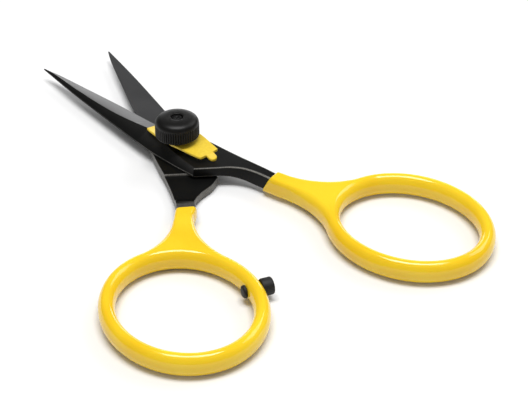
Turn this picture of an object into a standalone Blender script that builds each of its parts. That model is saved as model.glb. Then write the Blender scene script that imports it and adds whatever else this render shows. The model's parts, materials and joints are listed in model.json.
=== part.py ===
"""Scissors with two finger rings, a leaf spring under a knurled thumb nut, and dipped grips."""

import math

import bmesh
import bpy
from mathutils import Matrix, Vector

MM = 0.001

# Heights above the table, in millimetres. The two halves meet on the shear plane.
SHEAR_PLANE = 2.25
HALF_THICKNESS = 1.80
CORE_GAP = 0.05
SLIDING_GAP = 0.03

# Each half stands open by this angle, about the pivot on the Z axis.
OPEN_ANGLE = math.radians(9.844)

# Finger rings: centre line ellipse in the closed half's own frame, x to the tips, y to its ring.
RING_CENTRE = (-44.55, 14.80)
RING_SEMI_AXES = (14.246, 12.221)
COAT_HALF_WIDTH = 1.40
COAT_HALF_HEIGHT = 2.00
CORE_HALF_WIDTH = 0.80
CORE_HALF_HEIGHT = 1.45
COAT_ROUNDING = 1.20
WEB_INSET = 0.50
WEB_HALF_HEIGHT = 1.35
RING_STEPS = 48

# Pivot screw, along Z.
HEAD_RADIUS = 3.10
HEAD_THICKNESS = 1.15
SHOULDER_RADIUS = 1.60
KEY_HALF_WIDTH = 1.25
THREAD_RADIUS = 1.00
SCREW_TOP = 9.75
HOLE_CLEARANCE = 0.06

# Thumb nut.
NUT_RADIUS = 4.03
NUT_BOTTOM = 6.30
NUT_TOP = 10.10
NUT_BORE = 1.06
RECESS_RADIUS = 1.20
HUB_RADIUS = 2.20
HUB_BOTTOM = 5.60
KNURL_TEETH = 56
KNURL_DEPTH = 0.16

# Leaf spring between the nut and the upper half.
PLATE_THICKNESS = 0.45
PLATE_FRONT = (7.60, 0.42)
PLATE_REAR = (-8.90, 1.45)
PLATE_FOOT_GAP = 0.15
PLATE_FOOT = SHEAR_PLANE + SLIDING_GAP + HALF_THICKNESS + PLATE_FOOT_GAP
PLATE_HUB_GAP = 0.04
PLATE_RISE = HUB_BOTTOM - PLATE_HUB_GAP - PLATE_THICKNESS - PLATE_FOOT
PLATE_HOLE_RADIUS = THREAD_RADIUS + 0.25

# Rubber stop, through the lower ring towards the upper one.
BUMPER_X = -43.90
BUMPER_HEAD_END = -0.70
BUMPER_HEAD_RADIUS = 1.50
BUMPER_STEM_RADIUS = 0.80
BUMPER_NUB_RADIUS = 1.10
BUMPER_NUB_LENGTH = 0.45
NUB_SEAT_GAP = 0.16

# Stations along a half: x, edge on the ring side, back edge, ridge, crown height, underside.
# Heights are from the shear plane, away from the other half.
BLADE_STATIONS = (
    (41.90, 0.10, -0.10, 0.00, 0.22, 0.0),
    (38.00, 0.85, -0.55, -0.20, 0.62, 0.0),
    (30.00, 1.55, -1.55, -1.00, 0.98, 0.0),
    (20.00, 2.50, -2.45, -1.30, 1.32, 0.0),
    (12.00, 3.05, -3.10, -0.80, 1.62, 0.0),
    (8.20, 3.40, -3.40, -0.36, 1.78, 0.0),
)
UPPER_SHANK = (
    (7.90, 3.45, -3.42, -0.34, 1.80, 0.0),
    (3.00, 4.40, -3.65, -1.45, 1.80, 0.0),
    (-3.00, 5.15, -3.50, -2.30, 1.80, 0.0),
    (-8.10, 5.60, -3.10, -2.80, 1.80, 0.0),
    (-10.60, 5.90, 0.20, 0.45, 1.80, 0.0),
    (-12.60, 6.20, 2.70, 2.95, 1.80, -0.45),
    (-14.60, 6.50, 4.00, 4.25, 1.80, -0.85),
    (-17.00, 6.90, 4.75, 5.00, 1.80, -1.10),
    (-19.00, 7.20, 5.15, 5.40, 1.75, -1.20),
    (-22.50, 8.00, 5.90, 6.15, 1.50, -1.40),
)
LOWER_SHANK = (
    (7.90, 3.45, -3.42, -0.34, 1.80, 0.0),
    (3.00, 4.20, -3.65, -1.45, 1.80, 0.0),
    (-3.00, 4.60, -3.90, -2.60, 1.80, 0.0),
    (-6.40, 4.75, -4.10, -3.40, 1.80, 0.0),
    (-6.50, 4.76, -4.10, -3.42, 1.80, 0.4),
    (-9.50, 5.00, -4.20, -3.95, 1.80, 0.4),
    (-12.00, 5.30, -1.70, -1.45, 1.80, 0.4),
    (-14.20, 5.65, 1.70, 1.95, 1.80, 0.4),
    (-16.00, 6.05, 2.75, 3.00, 1.80, -0.3),
    (-18.00, 6.60, 3.45, 3.70, 1.75, -0.95),
    (-22.50, 8.20, 5.40, 5.65, 1.50, -1.40),
)

# Plan of the web between the neck and the ring, on its inner side and on its outer side.
UPPER_NECK_INNER = ((-18.90, 4.55), (-20.40, 4.85), (-22.40, 5.25), (-25.20, 5.75))
LOWER_NECK_INNER = ((-19.50, 3.45), (-20.40, 4.05), (-22.40, 5.05), (-25.20, 5.65))
FLARE_INNER = ((-28.40, 5.70), (-31.00, 5.15), (-33.20, 4.40))
FLARE_OUTER = ((-28.00, 15.20), (-27.00, 13.40), (-25.60, 11.55), (-24.00, 10.00))
UPPER_NECK_OUTER = ((-22.20, 8.90), (-20.40, 8.10), (-18.30, 7.50))
LOWER_NECK_OUTER = ((-22.20, 8.95), (-20.40, 8.10), (-18.50, 7.10))


def reset_scene():
    """Remove every object that is already there."""
    for item in list(bpy.data.objects):
        bpy.data.objects.remove(item, do_unlink=True)


def material(name, color, roughness, metallic=0.0):
    """A Principled material of one colour."""
    made = bpy.data.materials.new(name)
    made.use_nodes = True
    shader = made.node_tree.nodes["Principled BSDF"]
    shader.inputs["Base Color"].default_value = (*color, 1.0)
    shader.inputs["Roughness"].default_value = roughness
    shader.inputs["Metallic"].default_value = metallic
    return made


def add_object(name, mesh, finish=None, parent=None):
    """Link a bmesh, in millimetres, as one object in metres."""
    bmesh.ops.recalc_face_normals(mesh, faces=mesh.faces)
    bmesh.ops.scale(mesh, vec=(MM, MM, MM), verts=mesh.verts)
    data = bpy.data.meshes.new(name)
    mesh.to_mesh(data)
    mesh.free()
    item = bpy.data.objects.new(name, data)
    bpy.context.collection.objects.link(item)
    if finish:
        data.materials.append(finish)
    item.parent = parent
    return item


def add_cutter(name, mesh, parent=None):
    """A shape that only another object's Boolean uses."""
    item = add_object(name, mesh, parent=parent)
    item.hide_render = True
    item.display_type = "WIRE"
    return item


def combine(item, other, operation):
    """Add an exact Boolean to an object."""
    boolean = item.modifiers.new(operation.title(), "BOOLEAN")
    boolean.operation = operation
    boolean.solver = "EXACT"
    boolean.object = other


def joint_empty(name, location=(0.0, 0.0, 0.0), turn=0.0, parent=None):
    """An empty on a joint's axis, in millimetres."""
    item = bpy.data.objects.new(name, None)
    bpy.context.collection.objects.link(item)
    item.location = Vector(location) * MM
    item.rotation_euler = (0.0, 0.0, turn)
    item.parent = parent
    return item


def close_rows(mesh, rows, wrap=False):
    """Join rows of points into a skin, with end caps unless the rows wrap around."""
    made = [[mesh.verts.new(point) for point in row] for row in rows]
    pairs = zip(made, made[1:] + made[:1]) if wrap else zip(made, made[1:])
    for first, second in pairs:
        count = len(first)
        for i in range(count):
            j = (i + 1) % count
            mesh.faces.new((first[i], first[j], second[j], second[i]))
    if not wrap:
        mesh.faces.new(made[0])
        mesh.faces.new(list(reversed(made[-1])))


def revolved(profile, steps, radius_of=None):
    """A closed solid from (radius, height) points; radius_of may shape a radius around the axis."""
    mesh = bmesh.new()
    rows = []
    for step in range(steps):
        angle = math.tau * step / steps
        row = []
        for radius, height in profile:
            shaped = radius_of(radius, height, step) if radius_of else radius
            row.append((shaped * math.cos(angle), shaped * math.sin(angle), height))
        rows.append(row)
    close_rows(mesh, rows, wrap=True)
    return mesh


def capped(profile, steps, half_width=None):
    """A solid of revolution with flat ends; half_width flattens it on two sides."""
    mesh = bmesh.new()
    rows = []
    for radius, height in profile:
        row = []
        for step in range(steps):
            angle = math.tau * step / steps
            x = radius * math.cos(angle)
            y = radius * math.sin(angle)
            if half_width:
                y = max(-half_width, min(half_width, y))
            row.append((x, y, height))
        rows.append(row)
    close_rows(mesh, rows)
    return mesh


def section(station, side, grow=0.0):
    """One cross section of a half: under edge, land, chamfer or facet, ridge, back, under back."""
    x, edge, back, ridge, crown, under = station
    flat_top = x < 8.0
    chamfer = min(0.25, 0.2 * crown)
    land = crown - chamfer if flat_top else 0.12
    shoulder = crown if flat_top else min(0.2, 0.9 * crown)
    steep = flat_top and x < -8.0
    back_land = crown - chamfer if steep else 0.2
    if flat_top and not steep:
        back_land = 0.2 + (crown - chamfer - 0.2) * ((7.9 - x) / 16.0) ** 2
    points = (
        (edge + grow, under - grow),
        (edge + grow, land),
        (edge - chamfer, shoulder + grow),
        (ridge, crown + grow),
        (back - grow, back_land),
        (back - grow, under - grow),
    )
    return [(x, side * y, SHEAR_PLANE - side * (SLIDING_GAP + height)) for y, height in points]


def ellipse_point(angle, outward=0.0):
    """A point of the ring's centre line, moved outward along its normal."""
    along, across = RING_SEMI_AXES
    normal = Vector((math.cos(angle) / along, math.sin(angle) / across)).normalized()
    place = Vector((along * math.cos(angle), across * math.sin(angle)))
    return Vector(RING_CENTRE) + place + normal * outward


def ring_tube(side, half_width, half_height, section_steps=12):
    """An oval bar around the ring's centre line."""
    mesh = bmesh.new()
    rows = []
    for step in range(RING_STEPS):
        around = math.tau * step / RING_STEPS
        row = []
        for i in range(section_steps):
            turn = math.tau * i / section_steps
            place = ellipse_point(around, half_width * math.cos(turn))
            row.append((place.x, side * place.y, SHEAR_PLANE + half_height * math.sin(turn)))
        rows.append(row)
    close_rows(mesh, rows, wrap=True)
    return mesh


def prism(outline, low, high):
    """An upright prism on a plan outline."""
    mesh = bmesh.new()
    close_rows(mesh, [[(x, y, z) for x, y in outline] for z in (low, high)])
    return mesh


def inset_outline(outline, distance):
    """Move each point of a counterclockwise outline inwards."""
    moved = []
    count = len(outline)
    for i, point in enumerate(outline):
        before = Vector(outline[i - 1])
        after = Vector(outline[(i + 1) % count])
        along = (after - before).normalized()
        moved.append((point[0] - along.y * distance, point[1] + along.x * distance))
    return moved


def web_plan(side, inset):
    """Plan of the steel web between the neck and the ring's centre line."""
    inner = UPPER_NECK_INNER if side < 0 else LOWER_NECK_INNER
    outer = UPPER_NECK_OUTER if side < 0 else LOWER_NECK_OUTER
    crotch = [tuple(ellipse_point(math.radians(angle))) for angle in (-52, -40, -28, -16, -4, 6)]
    outline = list(outer[-2::-1]) + list(FLARE_OUTER[::-1]) + crotch[::-1]
    outline += list(FLARE_INNER[::-1]) + list(inner[:0:-1])
    return inset_outline(outline, inset)


def half_mesh(side, shank, grow=0.0):
    """Blade, pivot boss and shank of one half, as one loft."""
    mesh = bmesh.new()
    stations = BLADE_STATIONS + shank
    if grow:
        stations = [station for station in shank if station[0] < -13.0]
    close_rows(mesh, [section(station, side, grow) for station in stations])
    return mesh


def steel_half(name, side, shank, finish, parent):
    """One forged half: the loft, its web and its ring core."""
    half = add_object(name, half_mesh(side, shank), finish, parent)
    outline = [(x, side * y) for x, y in web_plan(side, WEB_INSET)]
    web_mesh = prism(outline, SHEAR_PLANE - WEB_HALF_HEIGHT, SHEAR_PLANE + WEB_HALF_HEIGHT)
    web = add_cutter(f"{name}_web", web_mesh, parent)
    core = add_cutter(f"{name}_core", ring_tube(side, CORE_HALF_WIDTH, CORE_HALF_HEIGHT), parent)
    combine(half, web, "UNION")
    combine(half, core, "UNION")
    return half


def coat_plan(side):
    """Outer outline of a grip in plan: neck, flare and ring."""
    inner = UPPER_NECK_INNER if side < 0 else LOWER_NECK_INNER
    outer = UPPER_NECK_OUTER if side < 0 else LOWER_NECK_OUTER
    arc = []
    for step in range(RING_STEPS - 10):
        angle = math.radians(14.0) + math.radians(288.0) * step / (RING_STEPS - 11)
        arc.append(tuple(ellipse_point(angle, COAT_HALF_WIDTH)))
    flare_and_neck = FLARE_INNER[::-1] + inner[::-1] + outer[::-1] + FLARE_OUTER[::-1]
    return arc + list(flare_and_neck)


def grip(name, side, shank, finish, parent):
    """A dipped grip: rounded plan with the finger hole, hollow where the steel runs."""
    outline = [(x, side * y) for x, y in coat_plan(side)]
    low = SHEAR_PLANE - COAT_HALF_HEIGHT
    high = SHEAR_PLANE + COAT_HALF_HEIGHT
    mesh = prism(outline, low, high)
    hole = []
    for step in range(RING_STEPS):
        place = ellipse_point(math.tau * step / RING_STEPS, -COAT_HALF_WIDTH)
        hole.append((place.x, side * place.y))
    coat = add_object(name, mesh, finish, parent)
    combine(coat, add_cutter(f"{name}_hole", prism(hole, low - 2.0, high + 2.0), parent), "DIFFERENCE")
    bevel = coat.modifiers.new("Round", "BEVEL")
    bevel.width = COAT_ROUNDING * MM
    bevel.segments = 4
    bevel.limit_method = "ANGLE"
    bevel.angle_limit = math.radians(50.0)
    cavity = add_cutter(f"{name}_cavity", half_mesh(side, shank, CORE_GAP), parent)
    web_outline = [(x, side * y) for x, y in web_plan(side, WEB_INSET - CORE_GAP)]
    rise = WEB_HALF_HEIGHT + CORE_GAP
    web_mesh = prism(web_outline, SHEAR_PLANE - rise, SHEAR_PLANE + rise)
    web = add_cutter(f"{name}_web_cavity", web_mesh, parent)
    tube = ring_tube(side, CORE_HALF_WIDTH + CORE_GAP, CORE_HALF_HEIGHT + CORE_GAP)
    core = add_cutter(f"{name}_core_cavity", tube, parent)
    for shape in (cavity, web, core):
        combine(coat, shape, "DIFFERENCE")
    return coat


def screw(finish, parent):
    """Head under the lower half, a flatted neck in it, a round shoulder and the threaded end."""
    head = capped(((HEAD_RADIUS - 0.25, 0.0), (HEAD_RADIUS, 0.25), (HEAD_RADIUS, HEAD_THICKNESS)), 48)
    item = add_object("pivot_screw", head, finish, parent)
    neck_top = SHEAR_PLANE
    neck = capped(((SHOULDER_RADIUS, HEAD_THICKNESS - 0.2), (SHOULDER_RADIUS, neck_top)), 32, KEY_HALF_WIDTH)
    shoulder_top = SHEAR_PLANE + HALF_THICKNESS - 0.1
    profile = (
        (KEY_HALF_WIDTH - 0.05, HEAD_THICKNESS - 0.1),
        (KEY_HALF_WIDTH - 0.05, neck_top),
        (SHOULDER_RADIUS, neck_top),
        (SHOULDER_RADIUS, shoulder_top),
        (THREAD_RADIUS, shoulder_top),
        (THREAD_RADIUS, SCREW_TOP - 0.25),
        (0.70, SCREW_TOP),
    )
    combine(item, add_cutter("pivot_screw_neck", neck, parent), "UNION")
    combine(item, add_cutter("pivot_screw_shoulder", capped(profile, 32), parent), "UNION")
    return item


def pivot_hole(side, parent):
    """Cutter for a half's pivot hole: flatted and counterbored below, round above."""
    wide = SHOULDER_RADIUS + HOLE_CLEARANCE
    if side < 0:
        hole = capped(((wide, SHEAR_PLANE - 1.0), (wide, SHEAR_PLANE + 3.0)), 32)
        return [add_cutter("upper_pivot_hole", hole, parent)]
    neck = capped(((wide, 0.0), (wide, SHEAR_PLANE + 1.0)), 32, KEY_HALF_WIDTH + HOLE_CLEARANCE)
    bore = HEAD_RADIUS + HOLE_CLEARANCE
    seat = capped(((bore, -1.0), (bore, HEAD_THICKNESS + HOLE_CLEARANCE)), 48)
    return [add_cutter("lower_pivot_hole", neck, parent), add_cutter("lower_counterbore", seat, parent)]


def nut_shape(radius, height, step):
    """Knurl on the straight side of the nut."""
    on_side = radius > NUT_RADIUS - 0.02 and 0.4 < height < 3.1
    return radius - KNURL_DEPTH if on_side and step % 2 else radius


def thumb_nut(finish, parent):
    """Knurled nut with a domed top and a round recess about the screw's end."""
    height = NUT_TOP - NUT_BOTTOM
    hub = HUB_BOTTOM - NUT_BOTTOM
    profile = (
        (NUT_BORE, hub),
        (HUB_RADIUS, hub),
        (HUB_RADIUS, 0.0),
        (NUT_RADIUS - 0.55, 0.0),
        (NUT_RADIUS - 0.22, 0.18),
        (NUT_RADIUS, 0.45),
        (NUT_RADIUS, height - 0.85),
        (NUT_RADIUS - 0.14, height - 0.52),
        (NUT_RADIUS - 0.50, height - 0.24),
        (NUT_RADIUS - 1.20, height - 0.08),
        (RECESS_RADIUS + 0.15, height),
        (RECESS_RADIUS, height - 0.15),
        (RECESS_RADIUS, height - 0.75),
        (NUT_BORE, height - 0.80),
    )
    mesh = revolved(profile, 2 * KNURL_TEETH, nut_shape)
    return add_object("thumb_nut", mesh, finish, parent)


def plate_half_width(along):
    """Half the leaf's width at 0 to 1 from its front end: straight front, swell, ears and tab."""
    if along < 0.48:
        return 1.60 + 1.65 * math.sin(0.5 * math.pi * along / 0.48)
    if along < 0.90:
        return 3.25 - 1.00 * ((along - 0.48) / 0.42) ** 1.4
    if along < 0.915:
        return 1.45
    if along < 0.94:
        return 1.30
    return 0.80 * math.sqrt(max(0.12, 1.0 - ((along - 0.94) / 0.062) ** 2))


def tension_plate(finish, parent):
    """Bowed leaf, from its front end at the blade's facet to its tab at the rear."""
    start = Vector(PLATE_FRONT)
    run = Vector(PLATE_REAR) - start
    across = Vector((-run.y, run.x)).normalized()
    places = [i / 32 for i in range(29)] + [0.8999, 0.9001, 0.9149, 0.9151, 0.9399, 0.9401, 0.96, 0.98, 1.0]
    rows = []
    for along in places:
        centre = start + run * along
        bow = PLATE_RISE * math.sin(math.pi * min(1.0, along / 0.96)) ** 0.8
        half = plate_half_width(along)
        low = [centre + across * half * (i / 4 - 1.0) for i in range(9)]
        row = [(p.x, -p.y, PLATE_FOOT + bow) for p in low]
        row += [(p.x, -p.y, PLATE_FOOT + bow + PLATE_THICKNESS) for p in reversed(low)]
        rows.append(row)
    mesh = bmesh.new()
    close_rows(mesh, rows)
    plate = add_object("tension_plate", mesh, finish, parent)
    through = ((PLATE_HOLE_RADIUS, PLATE_FOOT - 1.0), (PLATE_HOLE_RADIUS, HUB_BOTTOM + 1.0))
    combine(plate, add_cutter("plate_hole", capped(through, 32), parent), "DIFFERENCE")
    return plate


def bumper_profile(gap=0.0):
    """Radius and distance along the stop's axis, from the nub in the finger hole to the head."""
    ring_outside = RING_CENTRE[1] - RING_SEMI_AXES[1] - COAT_HALF_WIDTH
    ring_inside = ring_outside + 2.0 * COAT_HALF_WIDTH
    stem = BUMPER_STEM_RADIUS + gap
    if gap:
        return ((stem, -ring_inside - 2.0), (stem, -ring_outside + 2.0))
    return (
        (0.30, -ring_inside - NUB_SEAT_GAP - BUMPER_NUB_LENGTH),
        (0.75, -ring_inside - NUB_SEAT_GAP - BUMPER_NUB_LENGTH + 0.15),
        (BUMPER_NUB_RADIUS, -ring_inside - NUB_SEAT_GAP - 0.25),
        (BUMPER_NUB_RADIUS, -ring_inside - NUB_SEAT_GAP),
        (stem, -ring_inside - NUB_SEAT_GAP),
        (stem, -ring_outside + CORE_GAP),
        (BUMPER_HEAD_RADIUS, -ring_outside + CORE_GAP),
        (BUMPER_HEAD_RADIUS, -BUMPER_HEAD_END - 0.30),
        (BUMPER_HEAD_RADIUS - 0.30, -BUMPER_HEAD_END),
    )


def place_stop(item):
    """Turn a shape made along Z to point across at the other ring."""
    item.location = (BUMPER_X * MM, 0.0, SHEAR_PLANE * MM)
    item.rotation_euler = (math.pi / 2, 0.0, 0.0)
    return item


def build():
    """Make the finishes, the two bodies and the pivot's pieces."""
    black = material("black_oxide_steel", (0.012, 0.012, 0.012), 0.45, 0.6)
    knob_black = material("black_coated_brass", (0.014, 0.013, 0.013), 0.38, 0.2)
    yellow = material("yellow_vinyl", (0.92, 0.72, 0.08), 0.25)
    yellow_paint = material("yellow_enamel", (0.94, 0.76, 0.07), 0.35)
    rubber = material("black_rubber", (0.02, 0.02, 0.02), 0.7)

    lower = joint_empty("lower_frame", turn=-OPEN_ANGLE)
    upper = joint_empty("blade_pivot", turn=OPEN_ANGLE)
    nut_axis = joint_empty("nut_turn", (0.0, 0.0, NUT_BOTTOM), parent=upper)

    lower_blade = steel_half("lower_blade", 1, LOWER_SHANK, black, lower)
    upper_blade = steel_half("upper_blade", -1, UPPER_SHANK, black, upper)
    for hole in pivot_hole(1, lower):
        combine(lower_blade, hole, "DIFFERENCE")
    for hole in pivot_hole(-1, upper):
        combine(upper_blade, hole, "DIFFERENCE")
    lower_coat = grip("lower_ring_coat", 1, LOWER_SHANK, yellow, lower)
    grip("upper_ring_coat", -1, UPPER_SHANK, yellow, upper)

    screw(black, lower)
    tension_plate(yellow_paint, upper)
    thumb_nut(knob_black, nut_axis)
    place_stop(add_object("ring_bumper", capped(bumper_profile(), 24), rubber, lower))
    hole = place_stop(add_cutter("bumper_hole", capped(bumper_profile(CORE_GAP), 24), lower))
    combine(lower_blade, hole, "DIFFERENCE")
    combine(lower_coat, hole, "DIFFERENCE")


reset_scene()
build()
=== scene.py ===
import json
import math

import bmesh
import bpy
import numpy as np
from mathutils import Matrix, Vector


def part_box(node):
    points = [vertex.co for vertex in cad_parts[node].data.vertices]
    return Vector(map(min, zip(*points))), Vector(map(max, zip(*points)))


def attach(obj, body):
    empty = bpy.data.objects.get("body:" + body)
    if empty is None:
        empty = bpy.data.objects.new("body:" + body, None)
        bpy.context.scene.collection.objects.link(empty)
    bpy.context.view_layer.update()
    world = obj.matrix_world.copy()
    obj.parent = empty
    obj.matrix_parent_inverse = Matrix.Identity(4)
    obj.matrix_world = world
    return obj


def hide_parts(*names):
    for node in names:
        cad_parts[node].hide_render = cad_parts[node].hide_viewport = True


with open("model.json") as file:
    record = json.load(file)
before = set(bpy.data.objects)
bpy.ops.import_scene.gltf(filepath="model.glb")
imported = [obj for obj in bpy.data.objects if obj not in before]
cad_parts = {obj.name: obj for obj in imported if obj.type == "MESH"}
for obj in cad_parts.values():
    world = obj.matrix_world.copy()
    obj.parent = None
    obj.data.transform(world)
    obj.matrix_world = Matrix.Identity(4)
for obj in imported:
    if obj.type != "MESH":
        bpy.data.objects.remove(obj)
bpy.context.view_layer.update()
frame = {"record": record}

mm = 0.001
openAngle = math.radians(9.844)   # each half stands this far from the middle line
pivotJoint = next(j for j in frame["record"]["behaviour"]["joints"] if j["name"] == "blade_pivot")
shearPlane = pivotJoint["pos_m"][2] / mm   # the height where the two halves meet
slidingGap = 0.03                 # each half's distance from the shear plane, in mm


# ---- shapes: everything below works in millimetres, x to the tips, y to the half's own ring

def smoothRows(table, count):
    # a monotone cubic through the rows of a table: each slope is the harmonic mean of its neighbours' steps
    values = np.asarray(table, float)
    step = np.diff(values, axis=0)
    slope = np.vstack([step[:1], np.zeros_like(step[1:]), step[-1:]])
    same = step[:-1] * step[1:] > 0
    total = np.where(same, step[:-1] + step[1:], 1.0)
    slope[1:-1] = np.where(same, 2 * step[:-1] * step[1:] / total, 0.0)
    place = np.linspace(0, len(values) - 1, count)
    k = np.minimum(place.astype(int), len(values) - 2)
    t = (place - k)[:, None]
    return ((2 * t**3 - 3 * t**2 + 1) * values[k] + (t**3 - 2 * t**2 + t) * slope[k]
            + (3 * t**2 - 2 * t**3) * values[k + 1] + (t**3 - t**2) * slope[k + 1])


def bezier(points, count):
    # a cubic Bezier curve: four points weighted by the Bernstein polynomials
    t = np.linspace(0, 1, count)[:, None]
    p = np.asarray(points, float)
    return (1 - t)**3 * p[0] + 3 * t * (1 - t)**2 * p[1] + 3 * t**2 * (1 - t) * p[2] + t**3 * p[3]


def arc(centre, radius, start, end, count=7):
    # points of a circle's arc: centre plus radius times cosine and sine
    turn = np.radians(np.linspace(start, end, count))
    return np.column_stack([centre[0] + radius * np.cos(turn), centre[1] + radius * np.sin(turn)])


def smoothStep(value, low, high):
    # 0 below low, 1 above high, and 3t^2 - 2t^3 between
    t = np.clip((value - low) / (high - low), 0, 1)
    return t * t * (3 - 2 * t)


def gridFaces(rows, columns, wrapRows=False, wrapColumns=False, first=0):
    # quads between neighbouring points of a grid
    i, j = np.meshgrid(np.arange(rows - (not wrapRows)), np.arange(columns - (not wrapColumns)),
                       indexing="ij")
    here, below = i * columns, (i + 1) % rows * columns
    beside = (j + 1) % columns
    quads = np.stack([here + j, here + beside, below + beside, below + j], -1)
    return (quads.reshape(-1, 4) + first).tolist()


def boreThrough(piece, steps, sides=64):
    # cuts upright round holes on the pivot's axis: each step is a radius, a bottom and a top
    for radius, low, high in steps:
        drill = bpy.data.meshes.new("drill")
        shape = bmesh.new()
        bmesh.ops.create_cone(shape, cap_ends=True, segments=sides, radius1=radius * mm,
                              radius2=radius * mm, depth=(high - low) * mm)
        bmesh.ops.translate(shape, verts=shape.verts, vec=(0, 0, 0.5 * (low + high) * mm))
        shape.to_mesh(drill)
        shape.free()
        cutter = bpy.data.objects.new("drill", drill)
        bpy.context.collection.objects.link(cutter)
        cut = piece.modifiers.new("bore", "BOOLEAN")
        cut.operation, cut.object = "DIFFERENCE", cutter
        bpy.context.view_layer.update()
        evaluated = piece.evaluated_get(bpy.context.evaluated_depsgraph_get())
        bored = bpy.data.meshes.new_from_object(evaluated)
        piece.modifiers.clear()
        piece.data = bored
        bpy.data.objects.remove(cutter)
    print("bored", piece.name, len(piece.data.polygons), "faces")


def toHalf(points, side):
    # from a closed half's own frame to where it lies open: mirror to its side, then turn about Z
    cosine, sine = math.cos(-side * openAngle), math.sin(-side * openAngle)
    x, y, z = points[..., 0], side * points[..., 1], points[..., 2]
    return np.stack([x * cosine - y * sine, x * sine + y * cosine, z], -1)


def makePiece(name, points, faces, finishes, body, node, sharp, wearAndSheen=None, finishOf=None):
    # one closed mesh at the origin, its seams merged and its faces turned outwards; edges sharper than
    # sharp degrees stay crisp, a value for each point gives its rubbing and painted highlight, and finishOf
    # picks a finish for each face
    mesh = bpy.data.meshes.new(name)
    mesh.from_pydata((np.asarray(points) * mm).reshape(-1, 3).tolist(), [], faces)
    if finishOf is not None:
        mesh.polygons.foreach_set("material_index", np.asarray(finishOf, np.int32))
    if wearAndSheen is not None:
        layer = mesh.attributes.new("wearAndSheen", "FLOAT", "POINT")
        layer.data.foreach_set("value", np.asarray(wearAndSheen, np.float32).ravel())
    work = bmesh.new()
    work.from_mesh(mesh)
    bmesh.ops.remove_doubles(work, verts=work.verts, dist=2e-7)
    bmesh.ops.dissolve_degenerate(work, dist=1e-8, edges=work.edges)
    bmesh.ops.recalc_face_normals(work, faces=work.faces)
    openEdges = sum(len(edge.link_faces) != 2 for edge in work.edges)
    work.to_mesh(mesh)
    work.free()
    mesh.set_sharp_from_angle(angle=math.radians(sharp))
    for finish in finishes:
        mesh.materials.append(finish)
    piece = bpy.data.objects.new(name, mesh)
    bpy.context.collection.objects.link(piece)
    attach(piece, body)
    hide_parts(node)
    print("made", name, len(mesh.polygons), "faces,", openEdges, "open edges")
    return piece


# ---- finishes

def linear(hexText):
    # sRGB hex to linear colour
    values = [int(hexText[i:i + 2], 16) / 255 for i in (0, 2, 4)]
    return [v / 12.92 if v <= 0.04045 else ((v + 0.055) / 1.055) ** 2.4 for v in values] + [1.0]


def addNode(tree, kind, settings=None, links=None):
    # a node with its settings: a key that starts with "in." is a socket, by name or number, as in links
    node = tree.nodes.new(kind)
    for key, value in (settings or {}).items():
        if key.startswith("in."):
            spot = key[3:]
            node.inputs[int(spot) if spot.isdigit() else spot].default_value = value
        else:
            setattr(node, key, value)
    for key, source in (links or {}).items():
        tree.links.new(source, node.inputs[key])
    return node


def startFinish(name, settings):
    # a new material, its tree, its shader with these settings, and the object coordinates
    made = bpy.data.materials.new(name)
    made.use_nodes = True
    tree = made.node_tree
    shader = tree.nodes["Principled BSDF"]
    for key, value in settings.items():
        shader.inputs[key].default_value = value
    place = addNode(tree, "ShaderNodeTexCoord").outputs["Object"]
    return made, tree, shader, place


def rampOf(tree, source, stops):
    # a colour ramp from a value: stops are (place, hex) pairs
    ramp = addNode(tree, "ShaderNodeValToRGB", links={"Fac": source})
    for i, (at, hexText) in enumerate(stops):
        stop = ramp.color_ramp.elements[i] if i < 2 else ramp.color_ramp.elements.new(at)
        stop.position = at
        stop.color = linear(hexText)
    return ramp.outputs["Color"]


def noiseOf(tree, place, size, detail):
    # a noise whose blotches are about this many millimetres across
    noise = addNode(tree, "ShaderNodeTexNoise", {"in.Scale": 1 / (size * mm), "in.Detail": detail},
                    {"Vector": place})
    return noise.outputs["Fac"]


def addRoughness(tree, shader, source, low, high):
    rough = addNode(tree, "ShaderNodeMapRange", {"in.To Min": low, "in.To Max": high}, {"Value": source})
    tree.links.new(rough.outputs["Result"], shader.inputs["Roughness"])


def addBump(tree, shader, source, strength, depth):
    bump = addNode(tree, "ShaderNodeBump", {"in.Strength": strength, "in.Distance": depth * mm},
                   {"Height": source})
    tree.links.new(bump.outputs["Normal"], shader.inputs["Normal"])


# Black oxide on forged and ground steel: a thin conversion coat, satin, rubbed brighter on its edges, and
# its edge colour also painted on where highlights and reflections fall.
# Sizes and depths in every finish are millimetres.
blackOxide = {"coat": "0b0b0b", "patch": "121211", "edge": "8e8c87", "roughness": (0.30, 0.42),
              "grain": 0.12, "patchSize": 6.0, "specular": 0.13, "bump": 0.12, "depth": 0.02}
# Ground steel for the cutting bevel and the shear face: glossier, and its lighter grey is partly a painted
# sheen standing in for the lit bevel's reflection.
groundAndSheenSteel = blackOxide | {"coat": "262627", "patch": "303031", "specular": 0.50, "roughness": (0.28, 0.38)}
screwSteel = blackOxide | {"edge": "3a3a3a"}


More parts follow.
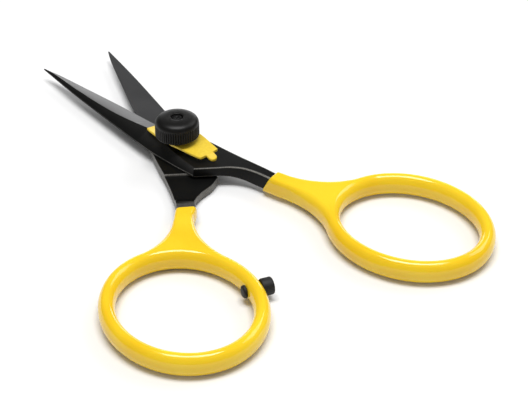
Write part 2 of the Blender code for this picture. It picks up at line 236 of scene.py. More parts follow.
def blackOxideFinish(name, settings):
    made, tree, shader, place = startFinish(name, {"Specular IOR Level": settings["specular"]})
    grain = noiseOf(tree, place, settings["grain"], 3.0)
    patch = noiseOf(tree, place, settings["patchSize"], 4.0)
    coat = rampOf(tree, patch, ((0.35, settings["coat"]), (0.75, settings["patch"])))
    # bright where the attribute of rubbing and painted highlight and the stretched grain are both high
    wearAndSheen = addNode(tree, "ShaderNodeAttribute", {"attribute_name": "wearAndSheen"})
    broken = addNode(tree, "ShaderNodeMath", {"operation": "MULTIPLY_ADD", "in.1": 2.4, "in.2": -0.55},
                     {0: grain})
    rubbedAndHighlit = addNode(tree, "ShaderNodeMath", {"operation": "MULTIPLY", "use_clamp": True},
                     {0: wearAndSheen.outputs["Fac"], 1: broken.outputs[0]})
    colour = addNode(tree, "ShaderNodeMix", {"data_type": "RGBA", "in.7": linear(settings["edge"])},
                     {"Factor": rubbedAndHighlit.outputs[0], 6: coat})
    tree.links.new(colour.outputs[2], shader.inputs["Base Color"])
    addRoughness(tree, shader, patch, *settings["roughness"])
    addBump(tree, shader, grain, settings["bump"], settings["depth"])
    return made


# Dipped vinyl (plastisol): thick and glossy, with a faint unevenness.
dippedVinyl = {"colour": "efcb29", "second": "e9bd1c", "stops": (0.3, 0.8), "size": 9.0, "detail": 1.0,
               "bump": 0.10, "depth": 0.05,
               "shader": {"Roughness": 0.10, "IOR": 1.52, "Subsurface Weight": 0.12,
                          "Subsurface Radius": (0.0012, 0.0007, 0.0002), "Subsurface Scale": 1.0}}
# Enamelled spring steel: sprayed and baked, semi-gloss, with a light orange peel.
leafEnamel = {"colour": "e6c83c", "second": "d9b52c", "stops": (0.3, 0.9), "size": 0.5, "detail": 2.0,
              "bump": 0.20, "depth": 0.02, "shader": {"Roughness": 0.32}}
# Moulded black rubber: matte, with a dusty grain.
mouldedRubber = {"colour": "080808", "second": "121110", "stops": (0.4, 0.8), "size": 0.2, "detail": 4.0,
                 "bump": 0.30, "depth": 0.03, "shader": {"Roughness": 0.62}}


def mottledFinish(name, settings):
    # two close colours mixed by one noise, which also raises the surface
    made, tree, shader, place = startFinish(name, settings["shader"])
    mottle = noiseOf(tree, place, settings["size"], settings["detail"])
    stops = zip(settings["stops"], (settings["colour"], settings["second"]))
    tree.links.new(rampOf(tree, mottle, stops), shader.inputs["Base Color"])
    addBump(tree, shader, mottle, settings["bump"], settings["depth"])
    return made


# Black-coated turned metal: fine turning rings under a satin coat.
turnedBlack = {"colour": "0d0d0c", "light": "161514", "roughness": (0.30, 0.46), "ring": 0.10, "grit": 0.25,
               "specular": 0.22, "bump": 0.05, "depth": 0.004}


def turnedBlackFinish(name, settings):
    made, tree, shader, place = startFinish(name, {"Specular IOR Level": settings["specular"]})
    # turning rings: the sine of the distance from the Z axis
    flat = addNode(tree, "ShaderNodeVectorMath", {"operation": "MULTIPLY", "in.1": (1.0, 1.0, 0.0)},
                   {0: place})
    radius = addNode(tree, "ShaderNodeVectorMath", {"operation": "LENGTH"}, {0: flat.outputs[0]})
    turns = math.tau / (settings["ring"] * mm)
    phase = addNode(tree, "ShaderNodeMath", {"operation": "MULTIPLY", "in.1": turns},
                    {0: radius.outputs["Value"]})
    rings = addNode(tree, "ShaderNodeMath", {"operation": "SINE"}, {0: phase.outputs[0]})
    grit = noiseOf(tree, place, settings["grit"], 3.0)
    colour = rampOf(tree, grit, ((0.35, settings["colour"]), (0.8, settings["light"])))
    tree.links.new(colour, shader.inputs["Base Color"])
    addRoughness(tree, shader, grit, *settings["roughness"])
    addBump(tree, shader, rings.outputs[0], settings["bump"], settings["depth"])
    return made


steelFinish = blackOxideFinish("blackOxideSteel", blackOxide)
groundAndSheenFinish = blackOxideFinish("groundBevelAndSheen", groundAndSheenSteel)
screwFinish = blackOxideFinish("blackOxideScrew", screwSteel)
vinylFinish = mottledFinish("dippedYellowVinyl", dippedVinyl)
enamelFinish = mottledFinish("yellowLeafEnamel", leafEnamel)
nutFinish = turnedBlackFinish("turnedBlackNut", turnedBlack)
rubberFinish = mottledFinish("mouldedBlackRubber", mouldedRubber)
print("finishes ready")


# ---- steel halves
# Each row is a station from the tip towards the ring, with heights from the face at the shear plane:
# edge x, edge y, back x, back y, ridge (0 at the back to 1 at the edge), crown height, underside,
# wall height at the edge, wall height at the back, rounding at the edge, rounding at the back.
# The edge is the side that cuts on the blade, and its line runs on to the outer side of the shank.

bladeTable = (
    (41.89, 0.13, 41.89, -0.13, 0.50, 0.20, 0.0, 0.08, 0.12, 0.02, 0.02),
    (38.00, 0.78, 38.00, -0.62, 0.27, 0.60, 0.0, 0.10, 0.22, 0.03, 0.05),
    (30.00, 1.58, 30.00, -1.55, 0.19, 0.98, 0.0, 0.10, 0.26, 0.03, 0.05),
    (20.00, 2.50, 20.00, -2.45, 0.23, 1.32, 0.0, 0.10, 0.28, 0.03, 0.05),
    (12.00, 3.05, 12.00, -3.10, 0.37, 1.62, 0.0, 0.10, 0.28, 0.03, 0.05),
    (8.25, 3.40, 8.10, -3.40, 0.45, 1.78, 0.0, 0.12, 0.28, 0.03, 0.05),
)
upperSteel = {
    "side": -1,
    "body": (
        (8.05, 3.42, 7.90, -3.42, 0.45, 1.80, 0.0, 1.80, 0.28, 0.10, 0.05),
        (3.00, 4.40, 3.00, -3.65, 0.273, 1.80, 0.0, 1.80, 0.28, 0.12, 0.06),
        (-3.00, 5.15, -3.00, -3.50, 0.139, 1.80, 0.0, 1.80, 0.30, 0.12, 0.06),
        (-7.40, 5.55, -8.10, -3.10, 0.042, 1.80, 0.0, 1.80, 0.32, 0.12, 0.06),
    ),
    "shank": (
        (-7.44, 5.56, -8.15, -3.03, 0.030, 1.80, 0.0, 1.80, 1.80, 0.12, 0.18),
        (-9.20, 5.75, -10.30, -0.15, 0.045, 1.80, 0.0, 1.80, 1.80, 0.12, 0.20),
        (-11.20, 6.00, -12.20, 2.35, 0.070, 1.80, -0.30, 1.80, 1.80, 0.14, 0.22),
        (-13.40, 6.33, -14.30, 3.85, 0.110, 1.80, -0.80, 1.80, 1.80, 0.16, 0.24),
        (-15.90, 6.70, -16.80, 4.62, 0.130, 1.80, -1.10, 1.80, 1.80, 0.20, 0.26),
        (-18.30, 7.10, -19.20, 5.10, 0.150, 1.72, -1.18, 1.72, 1.72, 0.28, 0.30),
        (-20.60, 7.55, -21.40, 5.60, 0.200, 1.50, -1.10, 1.50, 1.50, 0.40, 0.40),
    ),
    # the step's value is a painted highlight
    "wallSheen": 0.0, "stepHighlight": 0.5, "roughFrom": 17.6, "roughWear": 0.0,
    "name": "upperSteelHalf", "ridesOn": "upper_half", "node": "upper_blade",
    "bores": ((1.66, shearPlane - 0.5, shearPlane + 2.5),),
}
lowerSteel = {
    "side": 1,
    "body": (
        (8.05, 3.42, 7.90, -3.42, 0.45, 1.80, 0.0, 1.80, 0.28, 0.10, 0.05),
        (3.00, 4.20, 3.00, -3.65, 0.280, 1.80, 0.0, 1.80, 0.40, 0.12, 0.06),
        (-2.00, 4.55, -3.50, -3.95, 0.150, 1.80, 0.0, 1.80, 0.60, 0.12, 0.08),
        (-5.90, 4.72, -8.70, -4.18, 0.060, 1.80, 0.0, 1.80, 1.00, 0.12, 0.10),
    ),
    "recess": (
        (-6.00, 4.73, -8.90, -4.19, 0.050, 1.80, 0.40, 1.80, 1.55, 0.12, 0.10),
        (-6.90, 4.78, -9.60, -4.20, 0.040, 1.80, 0.40, 1.80, 1.60, 0.12, 0.10),
    ),
    "shank": (
        (-6.94, 4.78, -9.65, -4.17, 0.040, 1.80, 0.40, 1.80, 1.80, 0.12, 0.18),
        (-9.40, 5.00, -11.60, -2.25, 0.050, 1.80, 0.40, 1.80, 1.80, 0.12, 0.20),
        (-11.60, 5.25, -13.20, 0.25, 0.070, 1.80, 0.40, 1.80, 1.80, 0.14, 0.22),
        (-13.40, 5.52, -14.80, 1.95, 0.100, 1.80, 0.36, 1.80, 1.80, 0.16, 0.24),
        (-14.60, 5.76, -15.90, 2.55, 0.110, 1.80, -0.10, 1.80, 1.80, 0.18, 0.26),
        (-16.40, 6.20, -17.50, 3.10, 0.130, 1.80, -0.70, 1.80, 1.80, 0.24, 0.30),
        (-18.40, 6.80, -19.40, 3.75, 0.150, 1.72, -0.95, 1.72, 1.72, 0.32, 0.34),
        (-20.30, 7.45, -21.10, 5.05, 0.200, 1.50, -1.05, 1.50, 1.50, 0.40, 0.40),
    ),
    # the walls get a painted reflection of the floor, the step a painted highlight
    "wallSheen": 0.75, "stepHighlight": 1.0, "roughFrom": 16.2, "roughWear": 0.30,
    "name": "lowerSteelHalf", "ridesOn": "lower_half", "node": "lower_blade",
    "bores": ((3.16, -0.5, 1.17), (1.66, 0.8, shearPlane + 0.5)),
}


stationCounts = {"blade": 90, "body": 50, "recess": 6, "shank": 90}
undersideColumns = (0, 20)               # places in steelSections' outline, which has 21 points
wallColumns = (1, 2, 3, 17, 18, 19)
# faces with the ground steel, lighter partly as a painted sheen
groundAndSheenColumns = (7, 8, 20)               # the cutting bevel and the shear face


def steelSections(table):
    # each station's outline as distance from the back, height and rubbing with painted highlight: straight
    # walls and facets joined by quarter rounds, with a guard point beside each round so that the rubbed and
    # highlit edges stay narrow
    ex, ey, bx, by, ridge, crown, under, wallE, wallB, roundE, roundB = table.T
    across = np.stack([ex - bx, ey - by], -1)
    width = np.linalg.norm(across, axis=1)
    small = np.minimum(0.08, np.minimum(0.2 * width, 0.3 * (wallE - under)))
    guard = np.minimum(0.12, 0.15 * width)
    roundE, roundB = np.minimum(roundE, 0.3 * width), np.minimum(roundB, 0.3 * width)
    ridgeAt = np.clip(ridge * width, roundB + 0.06, width - roundE - guard - 0.12)
    soft = np.minimum(0.06, 0.2 * (ridgeAt - roundB))
    beside = np.minimum(0.5 * guard, 0.4 * (ridgeAt - roundB))
    slopeE = (crown - wallE) / np.maximum(width - roundE - ridgeAt, guard)
    slopeB = (crown - wallB) / np.maximum(ridgeAt - roundB, 0.02)
    low = under + small
    guardE, guardB = (low + np.minimum(guard, 0.4 * (top - low))
                      for top in (wallE - roundE, wallB - roundB))
    sine = np.sin(np.radians([22.5, 45.0, 67.5]))
    cosine = sine[::-1]
    # third value: rubbing with painted highlight, 1 on the rounds; the 0.15 along the ridge is a painted
    # highlight
    rows = [(width - small, under, 0.0), (width, low, 0.5), (width, guardE, 0.0),
            (width, wallE - roundE, 0.0)]
    rows += [(width - roundE * (1 - c), wallE - roundE * (1 - s), 1.0) for s, c in zip(sine, cosine)]
    rows += [(width - roundE, wallE, 0.3), (width - roundE - guard, wallE + slopeE * guard, 0.0),
             (ridgeAt + soft + 0.02, crown, 0.0), (ridgeAt + 0.3 * soft, crown, 0.15),
             (ridgeAt - soft, crown - slopeB * soft, 0.15),
             (roundB + beside, wallB + slopeB * beside, 0.0), (roundB, wallB, 0.3)]
    rows += [(roundB * (1 - s), wallB - roundB * (1 - c), 1.0) for s, c in zip(sine, cosine)]
    back = np.zeros_like(width)
    rows += [(back, wallB - roundB, 0.0), (back, guardB, 0.0), (back, low, 0.5), (small, under, 0.0)]
    q = np.stack([row[0] for row in rows], 1) / width[:, None]
    h = np.stack([row[1] for row in rows], 1)
    wearAndSheen = np.tile([row[2] for row in rows], (len(table), 1))
    return bx[:, None] + q * across[:, :1], by[:, None] + q * across[:, 1:], h, wearAndSheen


def buildSteelHalf(settings):
    tables = {"blade": bladeTable} | {key: settings[key] for key in stationCounts if key in settings}
    table = np.vstack([smoothRows(rows, stationCounts[key]) for key, rows in tables.items()])
    kinds = np.repeat(list(tables), [stationCounts[key] for key in tables])
    x, y, h, wearAndSheen = steelSections(table)
    z = shearPlane - settings["side"] * (slidingGap + h)
    points = toHalf(np.stack([x, y, z], -1), settings["side"])
    rows, columns = x.shape
    # rubbing and painted light: little on the blade, most on the shank; a painted reflection of the floor on
    # the walls, a painted highlight along the step, and rough wear beside the coat
    wearAndSheen = wearAndSheen * np.select([kinds == "blade", kinds == "body"], [0.25, 0.60], 1.0)[:, None]
    walls = np.isin(np.arange(columns), wallColumns)
    # painted reflection of the floor on the side walls
    wearAndSheen = np.maximum(wearAndSheen, settings["wallSheen"] * walls * (kinds != "blade")[:, None])
    stepRow = np.flatnonzero(kinds == "body")[-1]
    # painted highlight along the step's edge
    wearAndSheen[stepRow, list(undersideColumns)] = settings["stepHighlight"]
    nearCoat = smoothStep(-x, settings["roughFrom"], settings["roughFrom"] + 0.5)
    wearAndSheen = np.maximum(wearAndSheen, settings["roughWear"] * nearCoat)
    # the ground steel with its painted sheen goes on the blade's cutting bevel and shear face
    groundAndSheenFaces = np.isin(np.arange(columns), groundAndSheenColumns) & (kinds[:-1] == "blade")[:, None]
    faces = gridFaces(rows, columns, wrapColumns=True)
    faces += [list(range(columns)), list(range((rows - 1) * columns, rows * columns))]
    finishOf = np.concatenate([groundAndSheenFaces.ravel().astype(int), [0, 0]])
    piece = makePiece(settings["name"], points, faces, [steelFinish, groundAndSheenFinish], settings["ridesOn"],
                      settings["node"], sharp=22, wearAndSheen=wearAndSheen, finishOf=finishOf)
    boreThrough(piece, settings["bores"])


for half in (upperSteel, lowerSteel):
    buildSteelHalf(half)


# ---- dipped grips

ringCentre = np.array([-44.55, 14.80])
ringSemiAxes = np.array([14.246, 12.221])
# Both coats: the ring's tube, then the neck's, and where the flares between them leave the ring (degrees
# from the tips) and how they bend. The first of each pair of handles is from the neck, the second from the
# ring. holeDegrees is the stretch of the hole that faces the cut. squareOver and climbOver are the stretches
# in x where the section and the middle height change.
grip = {"halfWidth": 1.40, "halfHeight": 2.00, "rounding": 1.40,
        "neckRounding": 1.05, "neckHalfHeight": 1.72, "neckRise": 0.27, "neckAxis": (0.91, -0.41),
        "outerDegrees": 12.0, "innerDegrees": -56.0, "holeDegrees": (-15.0, -29.0),
        "outerHandles": ((-2.7, 1.20), (0.75, -3.9)), "innerHandles": ((-4.3, 1.15), (3.9, 2.45)),
        "squareOver": (-29.0, -20.5), "climbOver": (-31.0, -19.0),
        "ringColumns": 300, "flareColumns": 44, "cutColumns": 25, "rows": 41, "neckRows": 34}
# the rolled end of the coat where the steel comes out: each step's distance ahead and the outline's scale
lipSteps = ((0, 1), (0.10, 0.985), (0.18, 0.95), (0.22, 0.90), (0.20, 0.84), (0.05, 0.70), (0, 0.1))
upperGrip = {"side": -1, "neckOuter": ((-18.30, 7.60), (-19.60, 8.05), (-20.90, 8.40), (-22.20, 8.95)),
             "neckInner": ((-19.10, 4.60), (-20.10, 4.80), (-21.30, 5.02), (-22.40, 5.30)),
             "lipSlant": 0.50, "name": "upperGripCoat", "body": "upper_half", "node": "upper_ring_coat"}
lowerGrip = {"side": 1, "neckOuter": ((-18.55, 7.15), (-19.80, 7.75), (-21.00, 8.30), (-22.20, 8.95)),
             "neckInner": ((-19.50, 3.45), (-20.50, 4.10), (-21.40, 4.75), (-22.40, 5.10)),
             "lipSlant": 0.10, "name": "lowerGripCoat", "body": "lower_half", "node": "lower_ring_coat"}


def ringPoints(degrees, outward):
    # an ellipse's points, each moved out along the normal
    turn = np.radians(degrees)
    spot = np.column_stack([np.cos(turn), np.sin(turn)])
    normal = spot / ringSemiAxes
    normal /= np.linalg.norm(normal, axis=1)[:, None]
    return ringCentre + spot * ringSemiAxes + normal * outward


def distanceTo(line, points):
    # the shortest distance from each point to a polyline's segments
    start, run = line[:-1], np.diff(line, axis=0)
    lengths = np.maximum((run**2).sum(1), 1e-12)
    found = []
    for block in np.array_split(points.reshape(-1, 2), 40):
        away = block[:, None, :] - start
        along = np.clip((away * run).sum(2) / lengths, 0, 1)
        found.append(np.sqrt(((away - along[..., None] * run)**2).sum(2).min(1)))
    return np.concatenate(found).reshape(points.shape[:-1])


def buildGrip(settings):
    # a ring and a neck, each a plan with a top and a bottom sheet, joined along the cut between the flares
    outerDegrees, innerDegrees = grip["outerDegrees"], grip["innerDegrees"]
    width, flare, cut = grip["halfWidth"], grip["flareColumns"], grip["cutColumns"]
    neckAxis = np.array(grip["neckAxis"])
    outerEnd, innerEnd = ringPoints([outerDegrees, innerDegrees], width)
    cutOuter, cutInner = np.array(settings["neckOuter"][-1]), np.array(settings["neckInner"][-1])
    (fromNeck, toRing), (fromNeckIn, toRingIn) = grip["outerHandles"], grip["innerHandles"]
    outerFlare = bezier((cutOuter, cutOuter + fromNeck, outerEnd + toRing, outerEnd), flare)
    innerFlare = bezier((cutInner, cutInner + fromNeckIn, innerEnd + toRingIn, innerEnd), flare)
    share = (1 - np.cos(np.linspace(0, math.pi, cut))) / 2
    cutLine = cutOuter + share[:, None] * (cutInner - cutOuter)
    around = np.linspace(innerDegrees, outerDegrees - 360, grip["ringColumns"])
    rim = np.vstack([cutLine, innerFlare[1:], ringPoints(around, width)[1:], outerFlare[::-1][1:-1]])
    first, second = grip["holeDegrees"]
    holeDegrees = np.concatenate([np.linspace(first, second, cut),
                                  np.linspace(second, innerDegrees, flare)[1:], around[1:],
                                  np.linspace(outerDegrees, first, flare)[1:-1] - 360])
    hole = ringPoints(holeDegrees, -width)
    neckOuter, neckInner = (smoothRows(settings[key][::-1], grip["neckRows"])
                            for key in ("neckOuter", "neckInner"))
    wall = np.vstack([neckOuter[::-1], outerFlare[1:], ringPoints(around[::-1], width)[1:-1],
                      innerFlare[::-1], neckInner[1:]])
    inside = np.vstack([hole, hole[:1]])

    def rise(plan):
        # the coat's height over its middle, 0 to 1, from the distance to its nearest outline: a quarter of
        # a superellipse, round at the ring and squarer at the neck, and level beyond the rounding
        neck = smoothStep(plan[..., 0], *grip["squareOver"])
        rounding = grip["rounding"] + (grip["neckRounding"] - grip["rounding"]) * neck
        power = 2 + 1.4 * neck
        depth = np.minimum(np.minimum(distanceTo(wall, plan), distanceTo(inside, plan)) / rounding, 1)
        return np.clip(1 - (1 - depth)**power, 0, 1)**(1 / power)

    def sheets(plan, height, slant):
        # top and bottom surfaces about a middle that climbs or sinks to the neck; slant shears the neck's
        # free end along its axis, by the height
        neck = smoothStep(plan[..., 0], *grip["climbOver"])
        half = grip["halfHeight"] + (grip["neckHalfHeight"] - grip["halfHeight"]) * neck
        middle = shearPlane - settings["side"] * grip["neckRise"] * neck
        top, bottom = middle + half * height, middle - half * height
        lean = neckAxis * settings["lipSlant"]
        return [np.concatenate([plan + (slant * (middle - z))[..., None] * lean, z[..., None]], -1)
                for z in (top, bottom)]

    spread = (1 - np.cos(np.linspace(0, math.pi, grip["rows"]))) / 2
    ringPlan = hole + spread[:, None, None] * (rim - hole)
    # the sheets meet along the hole and the rim, but not across the cut, where the neck goes on
    ringRise = rise(ringPlan)
    ringRise[0] = 0
    ringRise[-1, cut - 1:] = 0
    ringRise[-1, 0] = 0
    neckPlan = neckOuter[:, None] + share[:, None] * (neckInner - neckOuter)[:, None]
    neckRise = rise(neckPlan)
    neckRise[:, [0, -1]] = 0
    slant = np.linspace(0, 1, grip["neckRows"])[:, None]**1.5
    points, faces, count = [], [], 0
    for plan, height, lean, wrap in ((ringPlan, ringRise, 0.0, True), (neckPlan, neckRise, slant, False)):
        for sheet in sheets(plan, height, lean):
            points.append(sheet.reshape(-1, 3))
            faces += gridFaces(*plan.shape[:2], wrapColumns=wrap, first=count)
            count += plan.shape[0] * plan.shape[1]
    top, bottom = (sheet[-1] for sheet in sheets(neckPlan, neckRise, slant))
    loop = np.vstack([top, bottom[::-1][1:-1]])
    centre = loop.mean(0)
    axis = np.append(neckAxis, 0.0)
    lip = [centre + (loop - centre) * scale + axis * ahead for ahead, scale in lipSteps]
    points.append(np.vstack(lip))
    faces += gridFaces(len(lip), len(loop), wrapColumns=True, first=count)
    faces.append(list(range(count + (len(lip) - 1) * len(loop), count + len(lip) * len(loop))))
    placed = toHalf(np.vstack(points), settings["side"])
    makePiece(settings["name"], placed, faces, [vinylFinish], settings["body"], settings["node"],
              sharp=60)


for settings in (upperGrip, lowerGrip):
    buildGrip(settings)


# ---- turned pieces

def revolve(profile, columns, shapeRadius=None):
    # a profile of radii and heights carried round the Z axis: radius times cosine and sine of the angle,
    # where shapeRadius may change the radius by height and angle
    turn = np.linspace(0, math.tau, columns, endpoint=False)
    radius = np.repeat(profile[:, :1], columns, 1)
    height = np.repeat(profile[:, 1:], columns, 1)
    if shapeRadius:
        radius = shapeRadius(radius, height, turn[None, :])
    return np.stack([radius * np.cos(turn), radius * np.sin(turn), height], -1)


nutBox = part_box("thumb_nut")
# hub and bottom are the underside's small and large rounds; dish is the recess round the screw's end
nut = {"hub": nutBox[0][2] / mm, "bottom": 6.30, "top": nutBox[1][2] / mm, "radius": 4.03, "hubRadius": 2.20,
       "bore": 1.06, "rim": 0.35, "crownHeight": 1.70, "fullness": 0.70,
       "dish": 1.32, "dishRound": 0.22, "dishDepth": 0.62,
       "teeth": 56, "toothDepth": 0.17, "samples": 8}


def buildNut(settings):
    radius, top, low, rim = (settings[key] for key in ("radius", "top", "bottom", "rim"))
    hub, hubRadius, bore = (settings[key] for key in ("hub", "hubRadius", "bore"))
    tall, full, soft, dish = (settings[key] for key in ("crownHeight", "fullness", "dishRound", "dish"))
    # the crown is a quarter oval from the knurled side to the dish: powers of cosine and sine, where a
    # fullness under 1 makes it squarer than an ellipse
    turn = np.linspace(0, 0.5 * math.pi, 36)[:-1]
    crown = np.column_stack([dish + (radius - dish) * np.cos(turn)**full,
                             top - tall + tall * np.sin(turn)**full])
    profile = np.vstack([
        [(bore, hub), (hubRadius - 0.12, hub), (hubRadius, hub + 0.12), (hubRadius, low),
         (radius - rim - 0.2, low)],
        arc((radius - rim, low + rim), rim, -90, 0, 7),
        np.column_stack([np.full(12, radius), np.linspace(low + rim + 0.08, top - tall - 0.05, 12)]),
        crown,
        arc((dish, top - soft), soft, 90, 180, 8),
        [(dish - soft, top - settings["dishDepth"]), (bore, top - settings["dishDepth"] - 0.04)],
    ])

    def knurl(spread, height, turn):
        # straight knurl: grooves as a raised cosine of the angle, fading out at both ends of the side
        groove = (0.5 + 0.5 * np.cos(settings["teeth"] * turn))**1.5
        fade = smoothStep(height, low + 0.26, low + 0.46) * (1 - smoothStep(height, top - 1.66, top - 1.10))
        onSide = smoothStep(spread, radius - 0.5, radius - 0.3)
        return spread - settings["toothDepth"] * groove * fade * onSide

    columns = settings["teeth"] * settings["samples"]
    points = revolve(profile, columns, knurl)
    faces = gridFaces(len(profile), columns, wrapRows=True, wrapColumns=True)
    makePiece("knurledThumbNut", points, faces, [nutFinish], "nut", "thumb_nut", sharp=40)


buildNut(nut)

# thread is the crests' radius, depth the groove's
screw = {"headRadius": 3.10, "headThickness": 1.15, "shoulder": 1.60, "shoulderTop": shearPlane + 1.70,
         "thread": 0.98, "depth": 0.07, "lead": 0.40, "end": nutBox[1][2] / mm - 0.14, "columns": 72}


def buildScrew(settings):
    top, head, crest = settings["end"], settings["headRadius"], settings["thread"]
    thick, shoulder, step = (settings[key] for key in ("headThickness", "shoulder", "shoulderTop"))
    profile = np.vstack([
        [(0.0, 0.0), (head - 0.30, 0.0)],
        arc((head - 0.25, 0.25), 0.25, -80, 0, 6),
        arc((head - 0.08, thick - 0.08), 0.08, 0, 90, 4),
        [(shoulder, thick), (shoulder, step), (crest, step + 0.05)],
        np.column_stack([np.full(70, crest), np.linspace(step + 0.10, top - 0.20, 70)]),
        arc((crest - 0.18, top - 0.18), 0.18, 10, 90, 6),
        arc((0.0, top + 0.42), 0.62, -47, -88, 8),
        [(0.0, top - 0.20)],
    ])

    def thread(spread, height, turn):
        # a helical groove on the threaded length: radius less a folded wave of height and angle
        phase = (height / settings["lead"] - turn / math.tau) % 1.0
        onThread = np.abs(spread - crest) < 1e-6
        return spread - onThread * settings["depth"] * np.abs(phase * 2 - 1)

    points = revolve(profile, settings["columns"], thread)
    faces = gridFaces(len(profile), settings["columns"], wrapColumns=True)
    makePiece("pivotScrew", points, faces, [screwFinish], "lower_half", "pivot_screw",
              sharp=35, wearAndSheen=np.zeros(points.shape[:2]))


buildScrew(screw)

# a stop through the lower ring: its head lies outside the ring, its nub inside, at this x of the closed half
bumper = {"x": -43.90, "headEnd": -0.70, "headRadius": 1.50, "stem": 0.80, "nub": 1.10, "nubLength": 0.61,
          "columns": 64}


def buildBumper(settings):
    outside = ringCentre[1] - ringSemiAxes[1] - grip["halfWidth"]
    inner = outside + 2 * grip["halfWidth"]
    end, head, stem, nub = (settings[key] for key in ("headEnd", "headRadius", "stem", "nub"))
    nubEnd = inner + settings["nubLength"]
    profile = np.vstack([
        [(0.0, end), (head - 0.45, end)],
        arc((head - 0.28, end + 0.28), 0.28, -90, 0, 7),
        [(head, outside - 0.15), (head - 0.10, outside + 0.06), (stem, outside + 0.10),
         (stem, inner - 0.10), (nub - 0.04, inner + 0.02), (nub, inner + 0.16)],
        arc((nub - 0.40, nubEnd - 0.40), 0.40, 5, 80, 7),
        [(0.0, nubEnd)],
    ])
    # turned about its own axis, which lies along the half's y
    turned = revolve(profile, settings["columns"])
    points = np.stack([settings["x"] + turned[..., 0], turned[..., 2], shearPlane + turned[..., 1]], -1)
    faces = gridFaces(len(profile), settings["columns"], wrapColumns=True)
    makePiece("ringStop", toHalf(points, 1), faces, [rubberFinish], "lower_half", "ring_bumper",
              sharp=50)


buildBumper(bumper)


# ---- leaf spring

# front and rear are its ends in plan; foot and crown are its underside's lowest and highest places, and
# crown leaves 0.04 between the leaf and the nut
leaf = {"front": (7.60, 0.42), "rear": (-8.90, 1.45), "thickness": 0.45, "round": 0.09, "hole": 1.25,
        "foot": shearPlane + 1.98, "crown": nutBox[0][2] / mm - 0.04 - 0.45, "frontSkew": 0.24,
        "frontHalf": 1.60, "middleHalf": 3.20, "earHalf": 2.20, "tabHalf": 0.86, "columns": 15}


def leafHalfWidth(along, settings):
    # swells as a quarter sine to the middle, then narrows to the ears as a power of 1.4
    front, middle, ear = (settings[key] for key in ("frontHalf", "middleHalf", "earHalf"))
    swell = front + (middle - front) * np.sin(0.5 * math.pi * np.clip(along / 0.48, 0, 1))
    ears = middle - (middle - ear) * np.clip((along - 0.48) / 0.42, 0, 1)**1.4
    return np.where(along < 0.48, swell, ears)


def buildLeaf(settings):
    start, run = np.array(settings["front"]), np.array(settings["rear"]) - settings["front"]
    across = np.array([-run[1], run[0]]) / np.linalg.norm(run)
    # half widths along the leaf: the body, the step behind the ears, and the tab with its elliptic end
    tab = settings["tabHalf"]
    body = np.linspace(0.0, 0.895, 60)
    tabEnd = np.sin(np.linspace(0, 0.5 * math.pi, 12))
    alongs = np.concatenate([body, [0.903, 0.906, 0.907, 0.909, 0.912, 0.916, 0.930, 0.942],
                             0.955 + 0.045 * tabEnd])
    halves = np.concatenate([leafHalfWidth(body, settings), [2.10, 1.95, 1.50, 1.05, 0.90, tab, tab, tab],
                             tab * np.sqrt(np.clip(1 - (tabEnd * 0.985)**2, 0, 1))])
    # rises from its front end, stays nearly level to the ears, and the tab is bent down to the shank
    sink = (1 - 0.45 * smoothStep(alongs, 0.55, 0.90)) * (1 - smoothStep(alongs, 0.905, 0.995))
    bow = (settings["crown"] - settings["foot"]) * smoothStep(alongs, -0.08, 0.40) * sink
    # each section goes across the top, down one side, back along the bottom and up the other side
    edge, thick, count = settings["round"], settings["thickness"], settings["columns"]
    share = np.linspace(-1, 1, count)
    inset = np.maximum(halves - edge, 0.3 * halves)[:, None]
    side = np.repeat(halves[:, None], 2, 1)
    sideways = np.concatenate([inset * share, side, inset * share[::-1], -side], 1)[..., None]
    lift = np.concatenate([np.full(count, thick), [thick - edge, edge],
                           np.zeros(count), [edge, thick - edge]])
    # the straight front end is cut askew, which fades out over the first quarter
    skew = settings["frontSkew"] * (1 - smoothStep(alongs, 0.0, 0.25))[:, None, None]
    back = run / np.linalg.norm(run)
    shift = skew * (settings["frontHalf"] - sideways) * back
    plan = start + alongs[:, None, None] * run + sideways * across + shift
    z = settings["foot"] + bow[:, None] + lift
    points = np.concatenate([plan, z[..., None]], -1)
    faces = gridFaces(len(alongs), points.shape[1], wrapColumns=True)
    faces += [list(range(points.shape[1])), list(range(points[:-1].size // 3, points.size // 3))]
    piece = makePiece("tensionLeaf", toHalf(points, -1), faces, [enamelFinish], "spring_leaf",
                      "tension_plate", sharp=35)
    boreThrough(piece, ((settings["hole"], settings["foot"] - 1.0, settings["crown"] + 1.5),))


buildLeaf(leaf)


# ---- floor, light and camera

# distance, target and the sensor's width are millimetres, like the lens
view = {"azimuth": 238.138, "elevation": 33.783, "distance": 294.68, "lens": 114.7, "sensor": 36.0,
        "target": (-22.213, -4.745, 2.25)}


def directionOf(azimuth, elevation):
    # a unit vector: azimuth turns from -Y towards +X, elevation lifts it, both in degrees
    turn, lift = math.radians(azimuth), math.radians(elevation)
    return Vector((math.sin(turn) * math.cos(lift), -math.cos(turn) * math.cos(lift), math.sin(lift)))


def addCamera(settings):
    back = directionOf(settings["azimuth"], settings["elevation"])
    data = bpy.data.cameras.new("viewCamera")
    data.lens, data.sensor_width = settings["lens"], settings["sensor"]
    data.clip_start, data.clip_end = 0.01, 20.0
    camera = bpy.data.objects.new("viewCamera", data)
    bpy.context.collection.objects.link(camera)
    camera.location = (Vector(settings["target"]) + back * settings["distance"]) * mm
    camera.rotation_euler = back.to_track_quat("Z", "Y").to_euler()
    bpy.context.scene.camera = camera


floorPaper = {"Roughness": 0.9, "Base Color": linear("e6e6e6")}


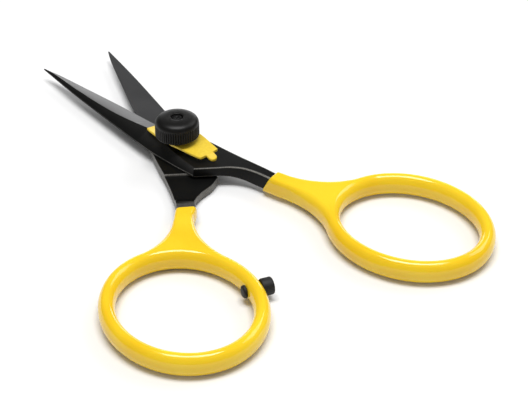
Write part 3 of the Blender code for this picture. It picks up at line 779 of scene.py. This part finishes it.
def addFloor(half=3):
    # a level square of white paper, in metres
    mesh = bpy.data.meshes.new("floor")
    corners = [(-half, -half, 0), (half, -half, 0), (half, half, 0), (-half, half, 0)]
    mesh.from_pydata(corners, [], [(0, 1, 2, 3)])
    mesh.materials.append(startFinish("whitePaper", floorPaper)[0])
    floor = bpy.data.objects.new("floor", mesh)
    bpy.context.collection.objects.link(floor)


# softboxes, by compass bearing and height as seen from the scissors: metres and watts
softboxes = {
    "overhead": {"bearing": 238.0, "height": 86.0, "away": 1.10, "size": (0.80, 0.42), "watts": 11.5},
    "farRight": {"bearing": 5.0, "height": 42.0, "away": 1.30, "size": (0.90, 0.50), "watts": 3.5},
    "backdrop": {"bearing": 55.0, "height": 9.0, "away": 1.60, "size": (1.20, 0.40), "watts": 4.0},
}


def addSoftbox(name, settings):
    data = bpy.data.lights.new(name, "AREA")
    data.shape, (data.size, data.size_y), data.energy = "RECTANGLE", settings["size"], settings["watts"]
    light = bpy.data.objects.new(name, data)
    bpy.context.collection.objects.link(light)
    back = directionOf(settings["bearing"], settings["height"])
    light.location = back * settings["away"]
    light.rotation_euler = back.to_track_quat("Z", "Y").to_euler()


surround = {"strength": 0.38, "mirrored": 0.10}


def addWorld(settings):
    # an even white surround, darker where a glossy surface mirrors it, like flags round a tent
    world = bpy.data.worlds.new("studio")
    world.use_nodes = True
    bpy.context.scene.world = world
    backdrop = world.node_tree.nodes["Background"]
    backdrop.inputs["Color"].default_value = (1.0, 1.0, 1.0, 1.0)
    path = addNode(world.node_tree, "ShaderNodeLightPath")
    darker = addNode(world.node_tree, "ShaderNodeMapRange",
                     {"in.To Min": settings["strength"], "in.To Max": settings["mirrored"]},
                     {"Value": path.outputs["Is Glossy Ray"]})
    world.node_tree.links.new(darker.outputs["Result"], backdrop.inputs["Strength"])


addCamera(view)
# plain display colours, so that white paper stays white
bpy.context.scene.view_settings.view_transform = "Standard"
addFloor()
for name, settings in softboxes.items():
    addSoftbox(name, settings)
addWorld(surround)
print("stage ready")
